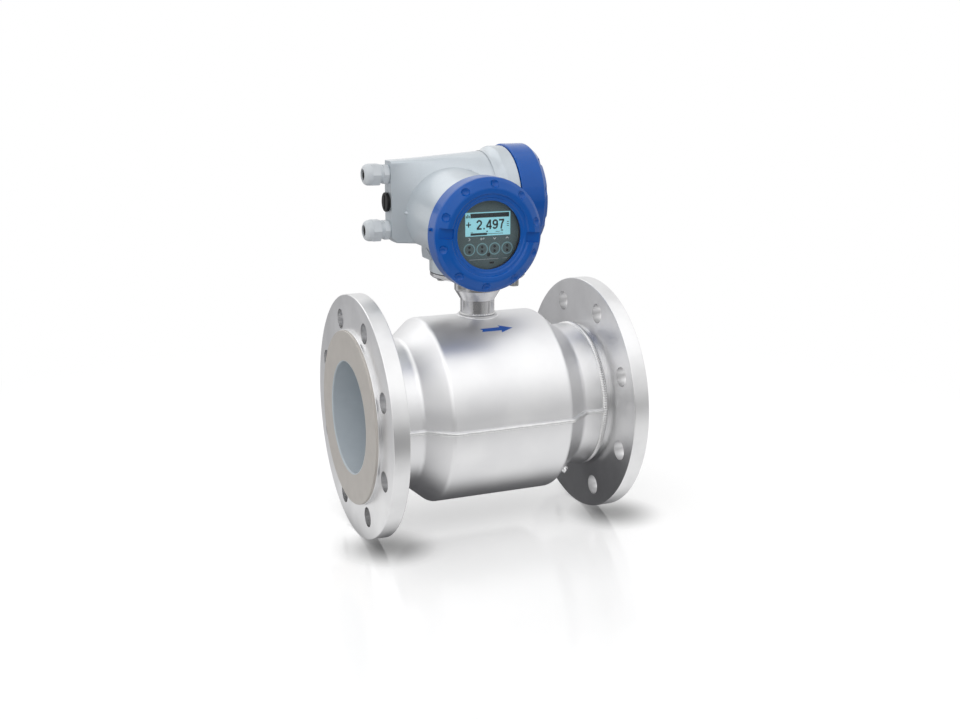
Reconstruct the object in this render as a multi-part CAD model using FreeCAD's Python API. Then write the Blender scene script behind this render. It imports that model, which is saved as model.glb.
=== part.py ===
import FreeCAD, Part
import math
import os

from FreeCAD import Vector

# Electromagnetic flow meter: a flanged DN 100 PN 16 sensor with a converter on a short neck.
# The origin is on the pipe's axis, midway between the faces. +X is the flow direction, +Z is up,
# and the display looks along -Y. All sizes are in millimetres.

# Measuring tube and liner
bore_radius = 50.0
liner_wall = 4.15
tube_wall = 3.0
length_over_faces = 250.0
liner_flare_thickness = 2.3
bore_lip_radius = 1.2

# Flanges
flange_radius = 110.0
flange_disc_thickness = 14.7
raised_face_height = 3.0
bolt_edge_distance = 20.0
raised_face_gap = 11.0
liner_flare_inset = 0.8
bolt_count = 8
bolt_hole_radius = 9.0
flange_edge_chamfer = 0.8
hub_radius = 66.0
hub_length = 4.0

# Coil housing shells
shell_wall = 3.0
shell_radius = 84.5
shell_cone_length = 21.0
shell_collar_length = 19.0
shell_collar_radius = 67.0
shell_shoulder_round = 6.0
shell_collar_round = 6.5
rim_reach = 3.5
rim_half_thickness = 1.75
rim_edge_round = 1.1
rim_parting_chamfer = 0.3
weld_width = 5.0
weld_height = 1.6
land_overlap = 8.0

# Drain plug low on the outlet cone
drain_angle = 41.0
drain_along_cone = 0.2
drain_head_radius = 3.5
drain_head_height = 3.0
drain_stem_radius = 2.2
drain_slot_width = 1.2

# Neck
neck_radius = 15.5
neck_wall = 3.0
neck_boss_radius = 18.2
neck_boss_height = 1.0
neck_boss_fillet = 1.0
neck_weld_size = 1.9
neck_foot_depth = 5.5
neck_tube_length = 13.5
neck_funnel_height = 9.0
neck_top_radius = 21.0
neck_top_height = 12.8
plate_thickness = 4.0
plate_radius = 43.0
plate_chamfer = 1.2
gasket_thickness = 1.0
gasket_inset = 0.6
cable_way_radius = 11.0
feedthrough_height = 6.0

# Screws under the plate
screw_circle_radius = 35.5
screw_count = 4
screw_head_radius = 4.0
screw_head_height = 7.5
screw_radius = 2.5
screw_depth = 9.0
screw_socket_af = 4.0
screw_socket_depth = 3.0
earth_screw_inset = 4.0
earth_head_radius = 4.2
earth_head_height = 3.6
earth_washer_radius = 5.0
earth_washer_thickness = 1.2

# Electrodes, on the Y axis through the bore
electrode_radius = 3.0
electrode_head_radius = 6.0
electrode_head_thickness = 1.6
electrode_length = 20.0
electrode_nut_af = 10.0
electrode_nut_height = 5.0

# Field coils, above and below the tube
shoe_thickness = 2.5
shoe_half_angle = 34.0
shoe_length = 64.0
core_radius = 13.0
core_foot_radius = 19.0
core_foot_height = 1.5
coil_radius = 31.0
coil_clearance = 0.4
coil_room_clearance = 1.9
coil_edge_round_most = 2.0
core_cap_height = 2.0

# Converter housing
housing_wall = 3.5
barrel_axis_y = 24.0
barrel_rise = 60.9
barrel_radius = 43.8
barrel_mouth_radius = 47.8
barrel_mouth_x = 33.0
barrel_shoulder_length = 12.0
barrel_shoulder_slope = 5.0
slab_left_x = -72.0
slab_thickness = 26.0
slab_below_barrel = 36.7
slab_above_barrel = 36.3
slab_corner_chamfer = 5.0
slab_front_inset = 3.0
slab_front_round = 2.5
slab_back_round = 5.0
slab_end_round = 8.0
blend_angles = [66, 78, 112, 135, 225, 248, 290, 302]
base_radius = 43.5
boss_axis_x = -15.8
boss_drop = 20.5
boss_mouth_y = -44.6
boss_mouth_radius = 40.0
boss_root_radius = 44.8
boss_root_rise = 9.0
boss_trim_y = -12.0
partition_y = -19.0
base_web_reach = 7.0
base_web_drop = 14.0

# Screwed covers
cover_radius = 49.4
cover_rim_depth = 16.8
cover_gap = 0.6
cover_relief = 2.0
cover_spigot_radius = 36.4
cover_spigot_wall = 2.8
cover_spigot_length = 10.0
thread_clearance = 0.1
dimple_count = 10
dimple_circle_radius = 45.0
dimple_face_rise = 2.5
dimple_radius = 3.8
dimple_depth = 2.0
cover_turn = 5.0
notch_inner_radius = 33.5
notch_outer_radius = 48.0
notch_width = 9.0
notch_depth = 4.0
bezel_valley_depth = 6.2
lock_nub_radius = 1.5
lock_nub_reach = 1.6
lock_nub_rise = 6.0
lock_nub_along = 0.58
oring_section = 2.0
oring_squeeze = 0.05
window_radius = 29.4
window_thickness = 4.0
window_seat = 2.2
window_clearance = 0.2
terminal_cover_length = 27.4
terminal_end_radius = 45.0
terminal_spigot_radius = 39.5
terminal_recess_radius = 33.0

# Display and electronics
module_radius = 32.0
module_leg_radius = 3.0
module_leg_circle = 26.0
module_leg_height = 3.0
module_step_depth = 8.0
module_step = 1.6
fascia_thickness = 2.0
fascia_window_gap = 1.6
lcd_width = 42.0
lcd_height = 20.4
lcd_shift_x = 1.7
lcd_shift_z = 8.8
lcd_recess = 0.4
terminal_board_radius = 36.0
terminal_board_x = 1.0
terminal_board_thickness = 3.0
terminal_board_leg_length = 9.0
terminal_row_spacing = 22.0
terminal_way_count = 8
terminal_way_pitch = 6.5
terminal_block_depth = 12.0
terminal_block_height = 14.0
terminal_screw_radius = 1.8
terminal_screw_rise = 3.2
terminal_screw_length = 2.8
terminal_screw_slot = 0.6
terminal_mouth_height = 4.0
terminal_mouth_depth = 6.0

# Cable entries in the slab's end face
entry_inset = 13.0
entry_drop = 0.6
entry_pitch = 25.0
entry_hole_radius = 7.0
gland_hex_af = 16.6
gland_hex_length = 4.4
gland_collar_radius = 7.9
gland_collar_length = 3.0
gland_thread_length = 8.0
gland_bore_radius = 5.2
gland_spigot_radius = 7.2
gland_spigot_length = 8.0
gland_nut_af = 18.6
gland_nut_length = 14.6
gland_nut_hex_length = 7.6
gland_dome_end_radius = 6.2
gland_seal_bore_radius = 3.2
gland_flange_washer = 1.0
plug_head_radius = 8.7
plug_head_thickness = 2.4
plug_stem_length = 8.0
plug_slot_width = 2.0
plug_slot_depth = 1.2
plug_seal_thickness = 0.8
plug_seal_radius = 8.3
running_clearance = 0.08

# Places that follow from the sizes
bolt_circle_radius = flange_radius - bolt_edge_distance
raised_face_radius = bolt_circle_radius - raised_face_gap
liner_flare_radius = raised_face_radius - liner_flare_inset
tube_inner_radius = bore_radius + liner_wall
tube_outer_radius = tube_inner_radius + tube_wall
face_x = length_over_faces / 2
raised_face_x = face_x - liner_flare_thickness
disc_front_x = raised_face_x - raised_face_height
disc_back_x = disc_front_x - flange_disc_thickness
hub_end_x = disc_back_x - hub_length
collar_end_x = hub_end_x - weld_width
collar_inner_radius = shell_collar_radius - shell_wall
shell_collar_x = collar_end_x - shell_collar_length
shell_shoulder_x = shell_collar_x - shell_cone_length
shoe_radius = tube_outer_radius + shoe_thickness
core_foot_top = shoe_radius + core_foot_height
coil_room_top = math.sqrt((shell_radius - shell_wall) ** 2 - coil_radius ** 2)
coil_height = coil_room_top - coil_room_clearance - core_foot_top
coil_edge_round = min(coil_edge_round_most, coil_height * 0.3)
neck_foot_z = shell_radius - neck_foot_depth
neck_boss_top_z = shell_radius + neck_boss_height
neck_funnel_start_z = neck_boss_top_z + neck_tube_length
neck_funnel_end_z = neck_funnel_start_z + neck_funnel_height
plate_bottom_z = neck_funnel_end_z + neck_top_height
plate_top_z = plate_bottom_z + plate_thickness
housing_bottom_z = plate_top_z + gasket_thickness
gasket_radius = plate_radius - gasket_inset
barrel_axis_z = housing_bottom_z + barrel_rise
slab_back_y = barrel_axis_y + slab_thickness
slab_bottom_z = barrel_axis_z - slab_below_barrel
slab_top_left_z = barrel_axis_z + slab_above_barrel
slab_front_y = barrel_axis_y + slab_front_inset
barrel_shoulder_x = barrel_mouth_x - barrel_shoulder_length
barrel_slope_x = barrel_shoulder_x - barrel_shoulder_slope
boss_axis_z = barrel_axis_z - boss_drop
lcd_centre_x = boss_axis_x + lcd_shift_x
lcd_centre_z = boss_axis_z + lcd_shift_z
entry_y = barrel_axis_y + entry_inset
entry_z = barrel_axis_z - entry_drop
terminal_front_x = terminal_board_x + terminal_board_thickness
terminal_room_left = terminal_board_x - terminal_board_leg_length
boss_bore_radius = cover_spigot_radius + thread_clearance
far = plate_radius * 10
barrel_bore_radius = terminal_spigot_radius + thread_clearance
terminal_room_radius = terminal_board_radius + thread_clearance * 4
threaded_bore_x = barrel_slope_x - 3.0
cover_rear_y = boss_mouth_y - cover_gap
cover_ridge_y = cover_rear_y - cover_rim_depth
terminal_cover_x = barrel_mouth_x + cover_gap
window_front_y = cover_ridge_y - 0.4
window_rear_y = window_front_y + window_thickness
fascia_front_y = window_rear_y + fascia_window_gap
module_front_y = fascia_front_y + fascia_thickness
entry_heights = {"upper": entry_z + entry_pitch, "lower": entry_z - entry_pitch}
X = Vector(1, 0, 0)
Y = Vector(0, 1, 0)
Z = Vector(0, 0, 1)


# Helpers

def outline(points, place):
    """Closed wire through points (a, b) or (a, b, radius); a radius rounds that corner."""
    corners = []
    for i, point in enumerate(points):
        here = Vector(point[0], point[1], 0)
        radius = point[2] if len(point) > 2 else 0.0
        if radius == 0.0:
            corners.append((here, None, here))
            continue
        before = points[i - 1]
        after = points[(i + 1) % len(points)]
        back = (Vector(before[0], before[1], 0) - here).normalize()
        ahead = (Vector(after[0], after[1], 0) - here).normalize()
        half = back.getAngle(ahead) / 2
        reach = radius / math.tan(half)
        middle = here + (back + ahead).normalize() * (radius / math.sin(half) - radius)
        corners.append((here + back * reach, middle, here + ahead * reach))
    edges = []
    for i, (start, middle, end) in enumerate(corners):
        if middle is not None:
            edges.append(Part.Arc(place(start), place(middle), place(end)).toShape())
        following = corners[(i + 1) % len(corners)][0]
        if (following - end).Length > 1e-6:
            edges.append(Part.makeLine(place(end), place(following)))
    return Part.Wire(edges)


def turned_x(points, y=0.0, z=0.0, angle=360.0):
    """Solid turned about an axis along X from points (x, radius)."""
    face = Part.Face(outline(points, lambda p: Vector(p.x, y + p.y, z)))
    return face.revolve(Vector(0, y, z), X, angle)


def turned_y(points, x=0.0, z=0.0):
    """Solid turned about an axis along Y from points (y, radius)."""
    face = Part.Face(outline(points, lambda p: Vector(x + p.y, p.x, z)))
    return face.revolve(Vector(x, 0, z), Y, 360)


def turned_z(points, x=0.0, y=0.0):
    """Solid turned about an axis along Z from points (z, radius)."""
    face = Part.Face(outline(points, lambda p: Vector(x + p.y, y, p.x)))
    return face.revolve(Vector(x, y, 0), Z, 360)


def rod(radius, start, end):
    """Round bar from one point to another."""
    along = end - start
    return Part.makeCylinder(radius, along.Length, start, along)


def hexagon(across_flats, start, along, length, turn=0.0):
    """Hexagonal bar with flats square to the turned cross direction."""
    corner = across_flats / math.sqrt(3)
    direction = Vector(along).normalize()
    side = Z if abs(direction.z) < 0.9 else X
    side = (side - direction * side.dot(direction)).normalize()
    other = direction.cross(side)
    points = []
    for i in range(6):
        angle = math.radians(turn + 60 * i)
        points.append(start + side * (corner * math.cos(angle)) + other * (corner * math.sin(angle)))
    face = Part.Face(Part.makePolygon(points + [points[0]]))
    return face.extrude(direction * length)


def around(shape, centre, axis, angle):
    """Copy of a shape turned about an axis."""
    copy = shape.copy()
    copy.rotate(centre, axis, angle)
    return copy


def mirrored_x(shape):
    return shape.mirror(Vector(0, 0, 0), X)


def mirrored_y(shape):
    return shape.mirror(Vector(0, 0, 0), Y)


def mirrored_z(shape):
    return shape.mirror(Vector(0, 0, 0), Z)


def box(low, high):
    return Part.makeBox(high[0] - low[0], high[1] - low[1], high[2] - low[2], Vector(*low))


# Pipe

def measuring_tube():
    """Steel tube between the raised faces, with a hole for each electrode."""
    tube = turned_x([(-raised_face_x, tube_inner_radius), (raised_face_x, tube_inner_radius),
                     (raised_face_x, tube_outer_radius), (-raised_face_x, tube_outer_radius)])
    hole = rod(electrode_radius, Vector(0, -tube_outer_radius - 1, 0), Vector(0, tube_outer_radius + 1, 0))
    return tube.cut(hole)


def liner():
    """Lining of the bore, flared over both raised faces."""
    lining = turned_x([(-face_x, bore_radius, bore_lip_radius),
                       (face_x, bore_radius, bore_lip_radius),
                       (face_x, liner_flare_radius, 0.6),
                       (raised_face_x, liner_flare_radius),
                       (raised_face_x, tube_inner_radius),
                       (-raised_face_x, tube_inner_radius),
                       (-raised_face_x, liner_flare_radius),
                       (-face_x, liner_flare_radius, 0.6)])
    hole = rod(electrode_radius, Vector(0, -tube_outer_radius, 0), Vector(0, tube_outer_radius, 0))
    heads = rod(electrode_head_radius, Vector(0, -bore_radius - electrode_head_thickness, 0),
                Vector(0, bore_radius + electrode_head_thickness, 0))
    return lining.cut([hole, heads])


def outlet_flange():
    """Flange with a raised face, a hub ring and a land that carries the shells."""
    disc = turned_x([(collar_end_x - land_overlap, tube_outer_radius),
                     (raised_face_x, tube_outer_radius),
                     (raised_face_x, raised_face_radius, 0.5),
                     (disc_front_x, raised_face_radius),
                     (disc_front_x, flange_radius, flange_edge_chamfer),
                     (disc_back_x, flange_radius, flange_edge_chamfer),
                     (disc_back_x, hub_radius),
                     (hub_end_x, hub_radius, 0.8),
                     (hub_end_x, collar_inner_radius),
                     (collar_end_x - land_overlap, collar_inner_radius)])
    holes = []
    for i in range(bolt_count):
        angle = math.radians(360 / bolt_count * (i + 0.5))
        y = bolt_circle_radius * math.cos(angle)
        z = bolt_circle_radius * math.sin(angle)
        holes.append(rod(bolt_hole_radius, Vector(disc_back_x - 1, y, z), Vector(disc_front_x + 1, y, z)))
    return disc.cut(holes)


def outlet_weld_bead():
    """Ring weld between the shells' collar and the flange's hub."""
    return turned_x([(collar_end_x, collar_inner_radius),
                     (hub_end_x, collar_inner_radius),
                     (hub_end_x, hub_radius - 0.8),
                     (hub_end_x - 1.2, shell_collar_radius + weld_height, 1.0),
                     (collar_end_x + 0.6, shell_collar_radius + weld_height, 1.0),
                     (collar_end_x, shell_collar_radius)])


# Coil housing

def shell_profile(offset):
    """Points (x, radius) of the housing's outer line, moved outwards by the offset."""
    slope = math.atan2(shell_radius - shell_collar_radius, shell_collar_x - shell_shoulder_x)
    shift = offset * math.tan(slope / 2)
    shoulder = (shell_shoulder_x + shift, shell_radius + offset, shell_shoulder_round + offset)
    collar = (shell_collar_x + shift, shell_collar_radius + offset, shell_collar_round - offset)
    right = [shoulder, collar, (collar_end_x, shell_collar_radius + offset)]
    left = [(-point[0],) + point[1:] for point in reversed(right)]
    return left + right


def upper_half_shell():
    """Stamped half shell with a seam rim along each side."""
    skin = shell_profile(0) + list(reversed(shell_profile(-shell_wall)))
    half = turned_x(skin, angle=180)
    rim = seam_rim()
    return half.fuse([rim, mirrored_y(rim)]).removeSplitter()


def seam_rim():
    """Flat rim of a half shell, rounded along its outer edge and bevelled at the parting line."""
    rim_line = shell_profile(rim_reach) + list(reversed(shell_profile(-shell_wall)))
    rim = Part.Face(outline(rim_line, lambda p: Vector(p.x, p.y, 0))).extrude(Z * rim_half_thickness)
    outer = [edge for edge in rim.Edges if edge.BoundBox.ZLength < 0.01 and is_rim_outside(edge.CenterOfMass)]
    rim = rim.makeFillet(rim_edge_round, [edge for edge in outer if edge.CenterOfMass.z > 0.1])
    parting = [edge for edge in rim.Edges if edge.BoundBox.ZMax < 0.01 and is_rim_outside(edge.CenterOfMass)]
    return rim.makeChamfer(rim_parting_chamfer, parting)


def is_rim_outside(point):
    """True for a point of the rim that lies beyond the shells' outer line."""
    along = (shell_collar_x - abs(point.x)) / (shell_collar_x - shell_shoulder_x)
    line = shell_collar_radius + (shell_radius - shell_collar_radius) * min(max(along, 0), 1)
    return point.y > line + rim_reach * 0.4 and abs(point.x) < collar_end_x - 0.1


def upper_housing_shell():
    """Upper shell with the raised collar that the neck is welded to."""
    shell = upper_half_shell()
    collar = rod(neck_boss_radius, Vector(0, 0, shell_radius * 0.8), Vector(0, 0, neck_boss_top_z))
    reach = X * neck_boss_radius * 2
    inside = rod(shell_radius - shell_wall, -reach, reach)
    shell = shell.fuse(collar.cut(inside)).removeSplitter()
    foot = [edge for edge in shell.Edges if is_neck_foot(edge)]
    shell = shell.makeFillet(neck_boss_fillet, foot)
    hole = rod(neck_radius, Vector(0, 0, neck_foot_z - 2), Vector(0, 0, neck_boss_top_z + 1))
    return shell.cut(hole)


def is_neck_foot(edge):
    """True for the curve where the neck's collar meets the shell's outside."""
    reach = edge.BoundBox
    wide = abs(reach.XLength - 2 * neck_boss_radius) < 0.5 or abs(reach.YLength - 2 * neck_boss_radius) < 0.5
    outside = reach.ZMin > shell_radius - shell_wall and reach.ZMax < neck_boss_top_z - neck_boss_height * 0.4
    return wide and outside


def drain_place():
    """Point on the outlet cone and its outward normal."""
    slope = math.atan2(shell_radius - shell_collar_radius, shell_collar_x - shell_shoulder_x)
    x = shell_shoulder_x + drain_along_cone * (shell_collar_x - shell_shoulder_x)
    radius = shell_radius - (x - shell_shoulder_x) * math.tan(slope)
    down = math.radians(drain_angle)
    outwards = Vector(0, -math.cos(down), -math.sin(down))
    return X * x + outwards * radius, X * math.sin(slope) + outwards * math.cos(slope)


def lower_housing_shell():
    """Lower shell, with the hole for the drain plug."""
    shell = mirrored_z(upper_half_shell())
    point, normal = drain_place()
    return shell.cut(rod(drain_stem_radius, point - normal * (shell_wall * 2), point + normal * 2))


def drain_plug():
    """Slotted plug in the outlet cone."""
    point, normal = drain_place()
    stem = rod(drain_stem_radius, point - normal * (shell_wall + 2), point + normal * 0.5)
    head = rod(drain_head_radius, point, point + normal * drain_head_height)
    head = head.makeChamfer(0.6, [edge for edge in head.Edges if is_far_circle(edge, point, normal)])
    slot = box((-drain_head_radius * 2, -drain_slot_width / 2, drain_head_height * 0.6),
               (drain_head_radius * 2, drain_slot_width / 2, drain_head_height * 2))
    slot.Placement = FreeCAD.Placement(point, FreeCAD.Rotation(Z, normal))
    cone = lower_cone_face_cutter()
    return head.cut(cone).fuse(stem).cut(slot).removeSplitter()


def is_far_circle(edge, point, normal):
    """True for the circle at the outer end of a round head."""
    return edge.Closed and (edge.CenterOfMass - point).dot(normal) > drain_head_height * 0.9


def lower_cone_face_cutter():
    """Solid body of the housing's outer form, to seat a head on its surface."""
    line = shell_profile(0)
    return turned_x([(line[0][0], 0)] + line + [(line[-1][0], 0)])


# Field coils and electrodes

def upper_pole_shoe():
    """Curved shoe on the tube with the core that the coil sits on."""
    ring = turned_x([(-shoe_length / 2, tube_outer_radius), (shoe_length / 2, tube_outer_radius),
                     (shoe_length / 2, shoe_radius), (-shoe_length / 2, shoe_radius)])
    half_width = shoe_radius * math.sin(math.radians(shoe_half_angle))
    shoe = ring.common(box((-shoe_length, -half_width, 0), (shoe_length, half_width, shoe_radius * 2)))
    inside_tube = Vector(0, 0, tube_outer_radius * 0.8)
    foot = rod(core_foot_radius, inside_tube, Vector(0, 0, core_foot_top))
    core = rod(core_radius, inside_tube, Vector(0, 0, core_foot_top + coil_height + core_cap_height))
    tube = rod(tube_outer_radius, Vector(-shoe_length, 0, 0), Vector(shoe_length, 0, 0))
    return shoe.fuse([foot.cut(tube), core.cut(tube)]).removeSplitter()


def upper_coil():
    """Round field coil around the core."""
    bottom = core_foot_top
    top = bottom + coil_height
    inner = core_radius + coil_clearance
    return turned_z([(bottom, inner, coil_edge_round / 2), (top, inner, coil_edge_round / 2),
                     (top, coil_radius, coil_edge_round), (bottom, coil_radius, coil_edge_round)])


def rear_electrode():
    """Electrode with its head flush with the liner's bore."""
    head = rod(electrode_head_radius, Vector(0, bore_radius, 0),
               Vector(0, bore_radius + electrode_head_thickness, 0))
    pin = rod(electrode_radius, Vector(0, bore_radius, 0), Vector(0, bore_radius + electrode_length, 0))
    return head.fuse(pin).removeSplitter()


def rear_electrode_nut():
    """Nut that pulls the electrode's head into the liner."""
    start = Vector(0, tube_outer_radius, 0)
    nut = hexagon(electrode_nut_af, start, Y, electrode_nut_height)
    return nut.cut(rod(electrode_radius, start - Y, start + Y * (electrode_nut_height + 1)))


# Neck

def neck_weld_bead():
    """Fillet weld around the neck's foot."""
    return turned_z([(neck_boss_top_z, neck_radius),
                     (neck_boss_top_z, neck_radius + neck_weld_size, neck_weld_size * 0.4),
                     (neck_boss_top_z + neck_weld_size, neck_radius + neck_weld_size * 0.3,
                      neck_weld_size * 0.2),
                     (neck_boss_top_z + neck_weld_size, neck_radius)])


def screw_places():
    places = []
    for i in range(screw_count):
        angle = math.radians(360 / screw_count * (i + 0.5))
        places.append(Vector(screw_circle_radius * math.cos(angle), screw_circle_radius * math.sin(angle), 0))
    return places


def sensor_neck():
    """Neck tube that flares out and carries the round plate under the converter."""
    inner = neck_radius - neck_wall
    neck = turned_z([(neck_foot_z, inner), (neck_foot_z, neck_radius),
                     (neck_funnel_start_z, neck_radius), (neck_funnel_end_z, neck_top_radius),
                     (plate_bottom_z, neck_top_radius, 1.5),
                     (plate_bottom_z, plate_radius - plate_chamfer),
                     (plate_bottom_z + plate_chamfer, plate_radius),
                     (plate_top_z, plate_radius), (plate_top_z, inner)])
    holes = [rod(screw_radius, place + Z * (plate_bottom_z - 1), place + Z * (plate_top_z + 1))
             for place in screw_places()]
    return neck.cut(holes)


def neck_feedthrough():
    """Sealed plug that closes the neck's top and carries the coil and electrode pins."""
    radius = neck_radius - neck_wall
    body = rod(radius, Vector(0, 0, plate_top_z - feedthrough_height), Vector(0, 0, plate_top_z))
    pins = []
    for i in range(6):
        angle = math.radians(60 * i)
        place = Vector(radius * 0.55 * math.cos(angle), radius * 0.55 * math.sin(angle), 0)
        pins.append(rod(0.8, place + Z * (plate_top_z - 1), place + Z * (plate_top_z + feedthrough_height)))
    return body.fuse(pins)


def base_gasket():
    """Flat gasket between the neck's plate and the converter."""
    ring = turned_z([(plate_top_z, cable_way_radius + 4), (housing_bottom_z, cable_way_radius + 4),
                     (housing_bottom_z, gasket_radius), (plate_top_z, gasket_radius)])
    holes = [rod(screw_radius, place, place + Z * (housing_bottom_z + 1)) for place in screw_places()]
    return ring.cut(holes)


def cap_screw(place):
    """Socket head screw that points up, with its head under the plate."""
    head_bottom = plate_bottom_z - screw_head_height
    head = turned_z([(head_bottom, 0), (head_bottom, screw_head_radius, 0.5),
                     (plate_bottom_z, screw_head_radius), (plate_bottom_z, 0)], place.x, place.y)
    shank = rod(screw_radius, place + Z * (plate_bottom_z - 1), place + Z * (plate_bottom_z + screw_depth))
    socket = hexagon(screw_socket_af, place + Z * head_bottom, Z, screw_socket_depth)
    return head.fuse(shank).cut(socket).removeSplitter()


def base_screws():
    return Part.makeCompound([cap_screw(place) for place in screw_places()])


def earth_screw():
    """Screw and washer of the earth connection, at the front of the plate."""
    place = Vector(0, -plate_radius + earth_screw_inset, 0)
    washer_bottom = plate_bottom_z - earth_washer_thickness
    head_bottom = washer_bottom - earth_head_height
    washer = rod(earth_washer_radius, place + Z * washer_bottom, place + Z * plate_bottom_z)
    head = hexagon(earth_head_radius * 2, place + Z * head_bottom, Z, earth_head_height)
    return washer.fuse(head).removeSplitter()


# Converter housing

def flat_end(x, inset):
    """Outline of the flat cable-entry end, eight edges from the foot of its front."""
    front, back = slab_front_y + inset, slab_back_y - inset
    low, high = slab_bottom_z + inset, slab_top_left_z - inset
    small, large = slab_front_round, slab_back_round
    turns = [(front + small, high - small, small, 0), (back - large, high - large, large, 90),
             (back - large, low + large, large, 180), (front + small, low + small, small, 270)]
    corners = []
    for y, z, radius, start in turns:
        corners.append([Vector(x, y - radius * math.cos(math.radians(a)), z + radius * math.sin(math.radians(a)))
                        for a in (start, start + 45, start + 90)])
    edges = []
    for i in range(4):
        edges.append(Part.makeLine(corners[i - 1][2], corners[i][0]))
        edges.append(Part.Arc(*corners[i]).toShape())
    return Part.Wire(edges)


def round_end(x, inset):
    """Outline of the barrel, eight arcs that match the edges of the flat end."""
    radius = barrel_radius - inset
    edges = []
    for i in range(8):
        span = (blend_angles[i - 1], blend_angles[i]) if i else (blend_angles[7] - 360, blend_angles[0])
        edges.append(Part.Arc(*[Vector(x, barrel_axis_y - radius * math.cos(math.radians(a)),
                                       barrel_axis_z + radius * math.sin(math.radians(a)))
                                for a in (span[0], sum(span) / 2, span[1])]).toShape())
    return Part.Wire(edges)


def blended_body(inset):
    """The body between the flat end and the barrel, drawn in on all sides by an inset."""
    return Part.makeLoft([flat_end(slab_left_x, inset), round_end(barrel_slope_x, inset)], True, True)


def is_left_edge(edge):
    return edge.BoundBox.XMax < slab_left_x + 0.01


def slab():
    """Body with its rounded left end and the bevel under the cable entries."""
    body = blended_body(0)
    back = [edge for edge in body.Edges if is_left_edge(edge) and edge.BoundBox.YMin > slab_back_y - 0.01]
    body = body.makeFillet(slab_end_round, back)
    bevel = [(slab_left_x - 1, slab_bottom_z - 1), (slab_left_x + slab_corner_chamfer, slab_bottom_z - 1),
             (slab_left_x + slab_corner_chamfer, slab_bottom_z),
             (slab_left_x, slab_bottom_z + slab_corner_chamfer),
             (slab_left_x - 1, slab_bottom_z + slab_corner_chamfer)]
    wedge = Part.Face(outline(bevel, lambda p: Vector(p.x, slab_front_y - 10, p.y)))
    return body.cut(wedge.extrude(Y * far))


def barrel():
    """Mouth of the terminal barrel with its swollen rim."""
    return turned_x([(barrel_slope_x, 0), (barrel_slope_x, barrel_radius),
                     (barrel_slope_x + 0.5, barrel_radius, 12),
                     (barrel_shoulder_x, barrel_mouth_radius, 3),
                     (barrel_mouth_x, barrel_mouth_radius, 0.6),
                     (barrel_mouth_x, 0)], barrel_axis_y, barrel_axis_z)


def display_boss():
    """Tapered boss whose axis leans down to the display cover, with a flared foot on the slab."""
    depth = barrel_axis_y - boss_mouth_y
    root = Vector(boss_axis_x, barrel_axis_y, boss_axis_z + boss_root_rise)
    mouth = Vector(boss_axis_x, boss_mouth_y, boss_axis_z)
    lean = (mouth - root).normalize()
    spare = 10.0
    taper = (boss_root_radius - boss_mouth_radius) / depth
    cone = Part.makeCone(boss_root_radius + taper * spare, boss_mouth_radius - taper * spare,
                         depth + 2 * spare, root - lean * spare, lean)
    kept = box((-far, boss_mouth_y, 0), (barrel_mouth_x - 1, barrel_axis_y + 2, far))
    under = box((-far, boss_trim_y, 0), (-base_radius, far, slab_bottom_z))
    return cone.common(kept).cut(under)


def base_boss():
    """Round boss that stands on the neck's plate, with a sloped web up to the slab."""
    upright = rod(base_radius, Vector(0, 0, housing_bottom_z), Vector(0, 0, barrel_axis_z - 10))
    web_line = [(-base_radius - base_web_reach, slab_bottom_z + 1),
                (-base_radius, slab_bottom_z - base_web_drop),
                (0, slab_bottom_z - base_web_drop), (0, slab_bottom_z + 1)]
    web = Part.Face(outline(web_line, lambda p: Vector(p.x, 0, p.y))).extrude(Y * (slab_back_y - housing_wall))
    ball = rod(base_radius + base_web_reach, Vector(0, 0, slab_bottom_z - base_web_drop),
               Vector(0, 0, slab_bottom_z + 1))
    shelf_z = barrel_axis_z - cover_radius - cover_relief
    under_cover = box((barrel_mouth_x, -far, shelf_z), (far, far, far))
    return upright.fuse(web.common(ball)).cut(under_cover)


def entry_hole(z):
    return rod(entry_hole_radius, Vector(slab_left_x - 1, entry_y, z),
               Vector(slab_left_x + housing_wall + 2, entry_y, z))


def converter_housing():
    """Cast housing with its two threaded mouths, cable entries and inner rooms."""
    body = slab().fuse([barrel(), display_boss(), base_boss()])
    lowest = box((-far, -far, 0), (far, far, housing_bottom_z))
    body = body.cut(lowest).removeSplitter()
    centre = Vector(0, barrel_axis_y, barrel_axis_z)
    terminal_room = rod(terminal_room_radius, centre + X * terminal_room_left, centre + X * (barrel_mouth_x + 1))
    threaded_bore = rod(barrel_bore_radius, centre + X * threaded_bore_x, centre + X * (barrel_mouth_x + 1))
    display_room = rod(boss_bore_radius, Vector(boss_axis_x, boss_mouth_y - 1, boss_axis_z),
                       Vector(boss_axis_x, partition_y, boss_axis_z))
    entry_room = blended_body(housing_wall).common(box((slab_left_x + housing_wall, -far, 0),
                                                       (terminal_room_left + 1, far, far)))
    cable_way = rod(cable_way_radius, Vector(0, 0, housing_bottom_z - 1), Vector(0, 0, barrel_axis_z - 20))
    holes = [entry_hole(entry_z), entry_hole(entry_heights["upper"]), entry_hole(entry_heights["lower"])]
    screws = [rod(screw_radius, place + Z * (housing_bottom_z - 1), place + Z * (plate_bottom_z + screw_depth))
              for place in screw_places()]
    rooms = [terminal_room, threaded_bore, display_room, entry_room, cable_way] + holes + screws
    return body.cut(rooms)


# Screwed covers

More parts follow.
